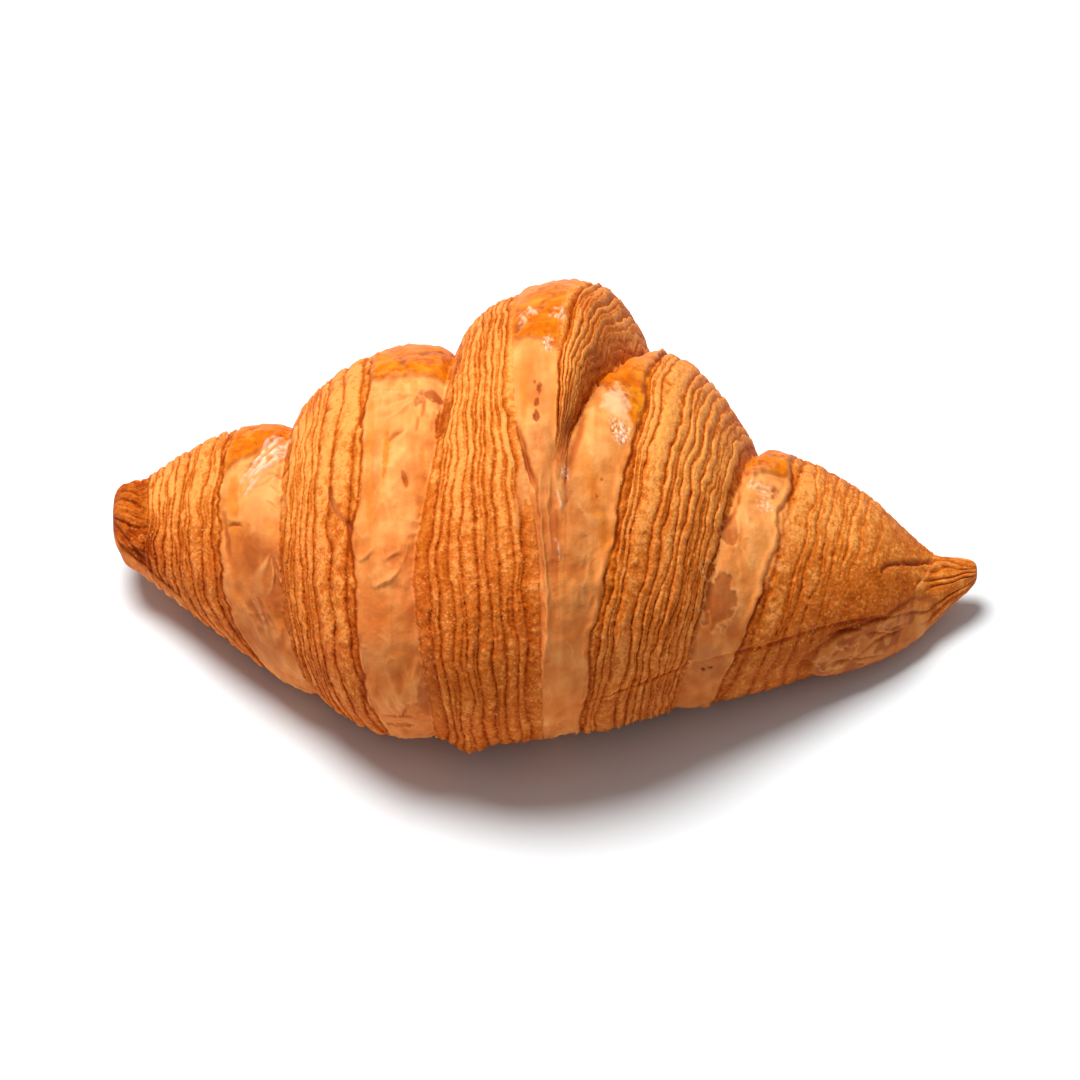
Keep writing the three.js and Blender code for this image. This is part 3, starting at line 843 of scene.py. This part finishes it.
def burst():
    """The burst blisters, and the spots of dried glaze and wet-looking wrinkles with painted glints and
    shade.
    """
    for seed, (x, angle, across, down) in enumerate(BURSTS):
        field = blot(x, angle, across, down, 0, 0.5, 170 + 3 * seed)
        crust["relief"] -= 0.45 * smoothstep(0, 0.6, field)
        crust["relief"] += 0.12 * bell((field + 0.25) / 0.3)
        set_off(field, "brown", 0.9, 0.2)
    for seed, (x, angle, across, down, tilt, size, drawn, white) in enumerate(DRIED):
        inside = smoothstep(-0.1, 0.3, blot(x, angle, across, down, tilt, 0.4, 205 + 3 * seed))
        u, v = local(x, angle, tilt)
        flat = np.full(X.shape, 3.1 * seed)
        spikes = np.abs(noise([u / (size * drawn), v / size, flat], 200))
        spikes = spikes + 0.8 * np.abs(noise([u / (0.5 * size * drawn), v / (0.5 * size), flat], 201))
        crust["relief"] += inside * size * (0.7 * spikes - 0.2)
        at_least("gloss", inside)
        # Painted glints on the spikes and painted shade between them.
        at_least("white", white * inside * smoothstep(0.3, 0.62, spikes))
        at_least("brown", 0.85 * white * inside * smoothstep(0.28, 0.1, spikes))
    for start, end, bow, width, white in STREAKS:
        line = line_between(start, end, bow, width)
        line = line * smoothstep(-0.5, 0.1, crust_noise(1.1, 330))
        # A painted glint along the wrinkle and painted shade on both sides of it.
        shade = [line_between(start, end, bow + side, 0.22) for side in (0.6, -0.6)]
        crust["relief"] += 0.3 * line
        at_least("white", white * line)
        at_least("gloss", line)
        at_least("brown", 0.9 * white * np.maximum(*shade))


# Small lumps and dents on the lower front edge and the tips, and the dip behind the middle of the top:
# place, size and height.
LUMPS = [
    (-23.6, 112, 1.1, 0.8),
    (-16.5, 118, 0.8, 0.5),
    (44.2, 100, 1.1, -1.4),
    (1.3, -52, 2.1, -1.6),
    (-2.8, -52, 2, 0.6),
    (5.2, -52, 1.8, 0.5),
    (65, 122, 4.2, 1.5),
    (-72.5, 112, 1.4, 0.8),
    (-73, 92, 0.7, -0.9),
]


def shape_rim():
    """The underside's rim below its crease, the drip, the lobe of the under-fold, and the lumps."""
    ends = np.clip(np.minimum(X - RIM_CREASE[0, 0], RIM_CREASE[-1, 0] - X) / 8, 0, 1)
    below = np.radians(A - rim_angle(X)) * half_height(X) / RIM_WIDTH
    groove = np.exp(-1.6 * below * below) * smoothstep(-0.3, -0.15, below)
    crust["relief"] -= RIM_DEPTH * ends * groove * MIDDLE
    # Painted shade: a dark line in the rim's crease.
    crust["crest"] -= 0.5 * ends * bell((below + 0.1) / 0.12) * MIDDLE
    under = smoothstep(-0.1, 0.4, below) * ends
    at_least("brown", 0.3 * under)
    crust["relief"] += DRIP["height"] * bell((X - DRIP["x"]) / DRIP["size"]) * bell((A - DRIP["angle"]) / 9)
    crust["relief"] += LOBE["height"] * LOBE_FIELD * smoothstep(82, 112, A)
    crust["relief"] += 0.25 * LOBE_FIELD * layered_noise(POINT, 4, 290, 3)
    at_least("skin", smoothstep(0.3, 0.8, LOBE_FIELD))
    blotches = crust_noise(2.2, 292)
    at_least("brown", LOBE_FIELD * (0.4 + 0.4 * smoothstep(0.1, 0.3, blotches)))
    # The lobe's edge crease, darkened with painted shade.
    crease = bell(LOBE_EDGE / 0.07) * smoothstep(112, 92, A)
    crust["relief"] -= 0.35 * crease
    at_least("brown", 0.7 * crease)
    at_least("gloss", 0.35 * LOBE_FIELD)
    for x, angle, size, height in LUMPS:
        across, down = local(x, angle)
        crust["relief"] += height * bell(across / size) * bell(down / size)


# The tips are pinched ends: their pleats run lengthwise and die out past the neck.
PLEATS = [
    {"side": -1, "from": 67.5, "full": 70.5, "count": 13,
     "depth": 0.7, "fine": 0.4, "lumps": 0.8, "tone": -0.28},
    {"side": 1, "from": 62, "full": 68, "count": 17,
     "depth": 0.6, "fine": 0.12, "lumps": 0.2, "tone": 0.14},
]
# The smooth flap under the left tip starts below these angles, at these places along X.
LEFT_FLAP = [(-75, 84), (-69, 92), (-62, 104)]


def pleat_tips():
    """The pleats of both tips and the smooth flap under the left one, with painted highlight and shade
    on the pleats and painted shade along the flap's edge and beside the left tip.
    """
    turn = np.radians(A)
    for pleat in PLEATS:
        weight = smoothstep(pleat["from"], pleat["full"], pleat["side"] * X)
        seed = 230 + pleat["count"]
        wander = noise([X / 4, np.cos(turn) * 2.2, np.sin(turn) * 2.2], seed)
        phase = turn * pleat["count"] / 2 + 2.4 * wander
        folds = np.abs(np.cos(phase)) ** 0.6
        short = draw(np.floor(phase / np.pi + 0.5), seed) * smoothstep(pleat["full"], 76, pleat["side"] * X)
        fine = np.abs(noise([X / 5, np.cos(turn) * 8, np.sin(turn) * 8], seed + 1)) ** 0.7
        lumps = layered_noise(POINT, 3, seed + 2, 3)
        crust["relief"] += weight * (pleat["depth"] * (folds - 0.7) + pleat["fine"] * (fine - 0.4))
        crust["relief"] += weight * (pleat["lumps"] * lumps - 0.9 * short)
        # The pleats' tone follows their relief: painted highlight on top, painted shade in the folds.
        tone = pleat["tone"] + 0.55 * folds + 0.3 * fine + 0.25 * lumps
        crust["crest"] = crust["crest"] * (1 - weight) + weight * tone
        crust["skin"] *= 1 - weight
    flap_edge = curve_through(*zip(*LEFT_FLAP))(X)
    below = np.radians(A - flap_edge) * REACH
    near = 1 - smoothstep(-64, -60, X)
    # Painted shade along the flap's edge.
    crust["relief"] -= 0.6 * near * bell(below / 0.5)
    crust["crest"] -= 0.6 * near * bell(below / 0.6)
    at_least("skin", near * smoothstep(0.2, 0.6, below) * (A < 170))
    # Painted shadow between the left tip and the ridges next to it.
    shade = bell((X + 68) / 2.2) * bell((A - 66) / 18)
    crust["crest"] -= 0.35 * shade


def tip_size():
    """The size of each ring: 1 between the tips, and down to 0 at their ends."""
    size = np.ones(X.shape)
    for index in (0, len(ZONES) - 1):
        rows = rows_of(index)
        share = SHARE[rows] if index == 0 else 1 - SHARE[rows]
        size[rows] = np.sin(np.pi / 2 * share) ** 0.5
    return size


raise_turns()
lay_skin()
cut_notches()
roughen()
glaze_caps()
tint()
peel()
gather()
fold_and_crease()
burst()
pleat_tips()
shape_rim()
SIZE = tip_size()
for name in crust:
    if name != "relief":
        crust[name] = np.clip(crust[name], 0, 1)


def crust_mesh():
    """The crust as one closed mesh, with what its material needs to know at each point."""
    xyz = np.stack(place(X, A, crust["relief"], SIZE), axis=-1).reshape(-1, 3)
    poles = [(x, side_shift(x), half_height(x) * SINK + lift(x)) for x in (-HALF, HALF)]
    points = np.concatenate([xyz, np.array(poles)]) * MM
    rings = len(X)
    grid = np.arange(rings * COLUMNS).reshape(rings, COLUMNS)
    after = np.roll(grid, -1, axis=1)
    quads = np.stack([grid[:-1], after[:-1], after[1:], grid[1:]], axis=-1).reshape(-1, 4)
    left_pole, right_pole = len(points) - 2, len(points) - 1
    left_fan = np.stack([np.full(COLUMNS, left_pole), after[0], grid[0]], axis=-1)
    right_fan = np.stack([np.full(COLUMNS, right_pole), grid[-1], after[-1]], axis=-1)
    corners = np.concatenate([quads.ravel(), left_fan.ravel(), right_fan.ravel()])
    sizes = np.concatenate([np.full(len(quads), 4), np.full(2 * COLUMNS, 3)])
    mesh = bpy.data.meshes.new("croissant_crust")
    mesh.vertices.add(len(points))
    mesh.vertices.foreach_set("co", points.ravel())
    mesh.loops.add(len(corners))
    mesh.loops.foreach_set("vertex_index", corners)
    mesh.polygons.add(len(sizes))
    mesh.polygons.foreach_set("loop_start", np.concatenate([[0], np.cumsum(sizes)[:-1]]))
    mesh.update(calc_edges=True)
    mesh.polygons.foreach_set("use_smooth", np.ones(len(sizes), bool))
    for name, values in crust.items():
        if name != "relief":
            layer = mesh.attributes.new(name, "FLOAT", "POINT")
            layer.data.foreach_set("value", np.concatenate([values.ravel(), [0, 0]]))
    return mesh


class Tree:
    """Adds nodes to a material. An input is a number, a colour or the output of another node."""

    def __init__(self, material):
        material.use_nodes = True
        self.nodes, self.links = material.node_tree.nodes, material.node_tree.links
        self.shader = self.nodes["Principled BSDF"]

    def add(self, kind, inputs, **settings):
        node = self.nodes.new("ShaderNode" + kind)
        for name, value in settings.items():
            setattr(node, name, value)
        self.put(node, inputs)
        return node

    def put(self, node, inputs):
        for name, value in inputs.items():
            socket = node.inputs[name]
            if isinstance(value, bpy.types.NodeSocket):
                self.links.new(value, socket)
            else:
                socket.default_value = value

    def value(self, name):
        return self.add("Attribute", {}, attribute_name=name).outputs["Fac"]

    def math(self, operation, *values):
        return self.add("Math", dict(enumerate(values)), operation=operation).outputs[0]

    def vary(self, value, pattern, amount):
        """The value, higher or lower where the pattern is above or below 0.5."""
        return self.math("MULTIPLY_ADD", self.math("SUBTRACT", pattern, 0.5), amount, value)

    def ramp(self, factor, stops):
        node = self.add("ValToRGB", {"Fac": factor})
        elements = node.color_ramp.elements
        while len(elements) < len(stops):
            elements.new(0.5)
        for element, (position, colour) in zip(elements, stops):
            element.position = position
            element.color = (*colour, 1)
        return node.outputs["Color"]

    def mix(self, factor, a, b, blend="MIX"):
        node = self.add("Mix", {0: factor}, data_type="RGBA", blend_type=blend)
        self.put(node, {6: a, 7: b})
        return node.outputs[2]

    def blend(self, factor, a, b):
        return self.add("Mix", {0: factor, 2: a, 3: b}, data_type="FLOAT").outputs[0]

    def noise(self, where, size, detail=2, stretch=None):
        """Noise of a size in millimetres, from 0 to 1."""
        if stretch:
            where = self.add("Mapping", {"Vector": where, "Scale": stretch}).outputs[0]
        inputs = {"Vector": where, "Scale": 1 / (size * MM), "Detail": detail}
        return self.add("TexNoise", inputs).outputs["Fac"]


# Colours as linear red, green and blue. Those of a ramp each come with their place on it, from 0 to 1.
# The ridges' tones run from the grooves' dark, partly their own colour and partly painted shade, to the
# crests.
RIDGE_TONES = [(0.05, (0.3, 0.045, 0.0015)), (0.42, (0.49, 0.106, 0.007)),
               (0.76, (0.65, 0.182, 0.024)), (1.0, (0.83, 0.315, 0.068))]
SKIN_TONES = [(0.2, (0.61, 0.168, 0.03)), (0.5, (0.75, 0.264, 0.06)), (0.8, (0.86, 0.38, 0.11))]
GLAZE_TONES = [(0.3, (0.54, 0.1, 0.001)), (0.5, (0.65, 0.16, 0.003)), (0.72, (0.75, 0.24, 0.008))]
# Darker, redder tone of the lower front: partly a browner bake, partly painted shade.
LOW_BAKE_AND_SHADE = (1, 0.77, 0.72, 1)
# Stains, and the painted shade in creases and hollows.
STAIN_AND_SHADE = (0.33, 0.062, 0.013, 1)
# Paler skin and flake rims, and painted highlights.
PALE_AND_HIGHLIGHT = (0.9, 0.38, 0.12, 1)
# Painted glints.
GLINT_WHITE = (0.95, 0.68, 0.5, 1)
# Light specks on tiny blisters, partly their own paler colour and partly painted highlight.
SPECK = (0.96, 0.47, 0.14, 1)
SPECK_CELL = 0.75  # millimetres from speck to speck
FLOOR_COLOUR = (0.76, 0.79, 0.8, 1)


def crust_material():
    """The baked crust: ridges, skin and glaze in their tones, then stains and painted shade, pale crests
    and patches with painted highlights, painted glints, and light specks.
    """
    material = bpy.data.materials.new("baked_crust")
    tree = Tree(material)
    where = tree.add("TexCoord", {}).outputs["Object"]
    crest, skin, amber = tree.value("crest"), tree.value("skin"), tree.value("amber")
    brown, pale = tree.value("brown"), tree.value("pale")
    white, gloss = tree.value("white"), tree.value("gloss")
    mottle = tree.noise(where, 5, 3)
    streaks = tree.noise(where, 3, 3, (2.2, 0.35, 0.35))
    fine = tree.noise(where, 0.45, 2)
    flakes = tree.noise(where, 1.5, 2)

    level = tree.vary(tree.vary(tree.vary(crest, fine, 0.75), flakes, 0.6), mottle, 0.45)
    ridges = tree.ramp(level, RIDGE_TONES)
    smooth = tree.ramp(tree.vary(tree.vary(mottle, streaks, 0.4), crest, 0.5), SKIN_TONES)
    glaze = tree.ramp(tree.noise(where, 3, 3), GLAZE_TONES)
    colour = tree.mix(skin, ridges, smooth)
    # The lower front darkened: a browner bake and painted shade.
    colour = tree.mix(tree.value("low"), colour, LOW_BAKE_AND_SHADE, "MULTIPLY")
    colour = tree.mix(amber, colour, glaze)
    # Stains and painted shade.
    colour = tree.mix(brown, colour, STAIN_AND_SHADE)
    # Paler skin, flake rims and painted highlights.
    colour = tree.mix(pale, colour, PALE_AND_HIGHLIGHT)
    # Painted glints.
    colour = tree.mix(white, colour, GLINT_WHITE)

    # Light specks on the tiny blisters of the ridged parts, partly painted highlight, more of them low on
    # the front.
    cells = tree.add("TexVoronoi", {"Vector": where, "Scale": 1 / (SPECK_CELL * MM)}, feature="F1")
    dot = tree.ramp(cells.outputs["Distance"], [(0.06, (1, 1, 1)), (0.42, (0, 0, 0))])
    scatter = tree.math("MULTIPLY_ADD", tree.value("low"), 0.12, tree.noise(where, 2.2, 2))
    chosen = tree.ramp(scatter, [(0.54, (0, 0, 0)), (0.68, (1, 1, 1))])
    rough_part = tree.math("SUBTRACT", 1, tree.math("MAXIMUM", skin, amber))
    speck = tree.math("MULTIPLY", tree.math("MULTIPLY", dot, chosen), rough_part)
    colour = tree.mix(tree.math("MULTIPLY", speck, 0.44), colour, SPECK)

    roughness = tree.blend(skin, 0.55, 0.42)
    roughness = tree.blend(gloss, roughness, 0.27)
    height = tree.math("MULTIPLY", tree.math("SUBTRACT", fine, 0.5), tree.blend(skin, 0.22, 0.05))
    height = tree.math("MULTIPLY_ADD", tree.math("MULTIPLY", flakes, skin), 0.22, height)
    height = tree.math("MULTIPLY_ADD", speck, 0.12, height)
    bump = tree.add("Bump", {"Height": height, "Strength": 0.8, "Distance": MM}).outputs["Normal"]
    tree.put(tree.shader, {"Base Color": colour, "Roughness": roughness, "Normal": bump,
                           "IOR": 1.4, "Specular IOR Level": 0.045})
    return material


crust_object = bpy.data.objects.new("croissant_crust", crust_mesh())
bpy.context.scene.collection.objects.link(crust_object)
crust_object.data.materials.append(crust_material())
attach(crust_object, "root")
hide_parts("croissant")


def stage_floor():
    """The pale floor that the croissant lies on."""
    bpy.ops.mesh.primitive_plane_add(size=6, location=(0, 0, 0))
    floor = bpy.context.object
    floor.name = "floor"
    material = bpy.data.materials.new("pale_floor")
    tree = Tree(material)
    tree.put(tree.shader, {"Base Color": FLOOR_COLOUR, "Roughness": 0.9, "Specular IOR Level": 0.1})
    floor.data.materials.append(material)


def soft_light(name, spot, size, power):
    """A round light that faces the middle of the underside."""
    light = bpy.data.lights.new(name, "AREA")
    light.shape = "DISK"
    light.size = size
    light.energy = power
    lamp = bpy.data.objects.new(name, light)
    lamp.location = spot
    lamp.rotation_euler = (-Vector(spot)).to_track_quat("-Z", "Y").to_euler()
    bpy.context.scene.collection.objects.link(lamp)


def studio_air():
    """Even white light from all round."""
    world = bpy.data.worlds.new("studio")
    world.use_nodes = True
    background = world.node_tree.nodes["Background"]
    background.inputs["Color"].default_value = (1, 1, 1, 1)
    background.inputs["Strength"].default_value = 0.3
    bpy.context.scene.world = world
    bpy.context.scene.view_settings.view_transform = "Standard"


def camera_view():
    """The photograph's view: 45 degrees above the table, from the front, a little over a metre away."""
    aim = Vector((-0.86, 0, 20.05)) * MM
    distance, elevation = 1.2, math.radians(45)
    frame_width = 185.6 * MM
    lens = bpy.data.cameras.new("camera")
    lens.sensor_width = 36
    lens.lens = lens.sensor_width * distance / frame_width
    lens.clip_start = 0.05
    camera = bpy.data.objects.new("camera", lens)
    camera.location = aim + distance * Vector((0, -math.cos(elevation), math.sin(elevation)))
    camera.rotation_euler = (math.pi / 2 - elevation, 0, 0)
    bpy.context.scene.collection.objects.link(camera)
    bpy.context.scene.camera = camera


stage_floor()
soft_light("key", spot=(-0.25, 0.2, 1.05), size=0.6, power=17.4)
studio_air()
camera_view()
